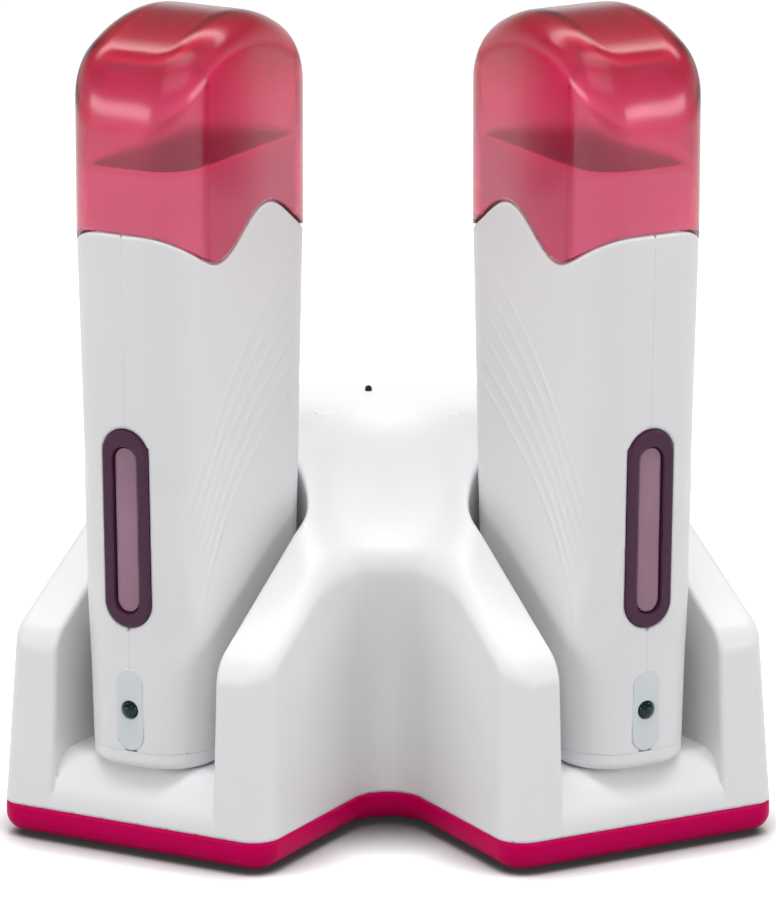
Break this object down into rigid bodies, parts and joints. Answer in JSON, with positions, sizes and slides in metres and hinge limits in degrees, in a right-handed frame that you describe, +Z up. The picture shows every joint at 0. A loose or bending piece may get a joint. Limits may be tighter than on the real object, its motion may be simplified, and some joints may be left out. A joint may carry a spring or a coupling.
{
  "type": "roll-on wax heater",
  "caption": "Twin roll-on wax heater: two slim handsets with tinted lift-off caps stand in open bays of a V-shaped charging base.",
  "frame": {"origin": "centre of the footprint, on the surface that the base stands on", "axes": "+Z up, -Y towards the user, where the arms and their open bays point, +X to the right seen from the user; the rear wall faces +Y"},
  "size_m": [0.2092, 0.1338, 0.2293],
  "materials": {
    "white_plastic": "smooth, semi-gloss",
    "crimson_plastic": "glossy",
    "tinted_cap": "glossy, tinted, see-through",
    "window_frame": "glossy",
    "window_pane": "clear, tinted",
    "plate_grey": "satin",
    "green_lamp": "glossy, dark green",
    "foot_rubber": "matt",
    "steel": "plated",
    "brass": "bright",
    "aluminium": "satin",
    "heater_steel": "satin",
    "circuit_board": "lacquered",
    "black_plastic": "matt",
    "cable": "matt"
  },
  "bodies": {
    "base": {"base_upper_shell": "white_plastic", "base_lower_tray": "crimson_plastic", "base_feet": "foot_rubber", "base_screws": "steel", "base_circuit_board": "circuit_board", "base_board_screws": "steel", "base_indicator_led": "green_lamp", "base_led_spacer": "black_plastic", "base_cables": "cable", "inlet_housing": "black_plastic", "inlet_pins": "brass", "left_contact_block": "black_plastic", "left_contact_pins": "brass", "right_contact_block": "black_plastic", "right_contact_pins": "brass"},
    "left_handset": {"left_inboard_shell": "white_plastic", "left_outboard_shell": "white_plastic", "left_mouth_collar": "white_plastic", "left_heater_jacket": "aluminium", "left_heating_element": "heater_steel", "left_thermostat": "black_plastic", "left_window_frame": "window_frame", "left_window_pane": "window_pane", "left_indicator_plate": "plate_grey", "left_indicator_led": "green_lamp", "left_led_board": "circuit_board", "left_foot_cover": "white_plastic", "left_foot_screws": "steel", "left_contact_sockets": "brass", "left_heater_leads": "cable"},
    "left_cap": {"left_cap": "tinted_cap"},
    "right_handset": {"right_inboard_shell": "white_plastic", "right_outboard_shell": "white_plastic", "right_mouth_collar": "white_plastic", "right_heater_jacket": "aluminium", "right_heating_element": "heater_steel", "right_thermostat": "black_plastic", "right_window_frame": "window_frame", "right_window_pane": "window_pane", "right_indicator_plate": "plate_grey", "right_indicator_led": "green_lamp", "right_led_board": "circuit_board", "right_foot_cover": "white_plastic", "right_foot_screws": "steel", "right_contact_sockets": "brass", "right_heater_leads": "cable"},
    "right_cap": {"right_cap": "tinted_cap"}
  },
  "joints": [
    {"name": "left_handset_lift", "type": "slide", "parent": "base", "child": "left_handset", "axis": [0, 0, 1], "range_m": [0, 0.12]},
    {"name": "left_cap_lift", "type": "slide", "parent": "left_handset", "child": "left_cap", "axis": [0, 0, 1], "range_m": [0, 0.07]},
    {"name": "right_handset_lift", "type": "slide", "parent": "base", "child": "right_handset", "axis": [0, 0, 1], "range_m": [0, 0.12]},
    {"name": "right_cap_lift", "type": "slide", "parent": "right_handset", "child": "right_cap", "axis": [0, 0, 1], "range_m": [0, 0.07]}
  ]
}
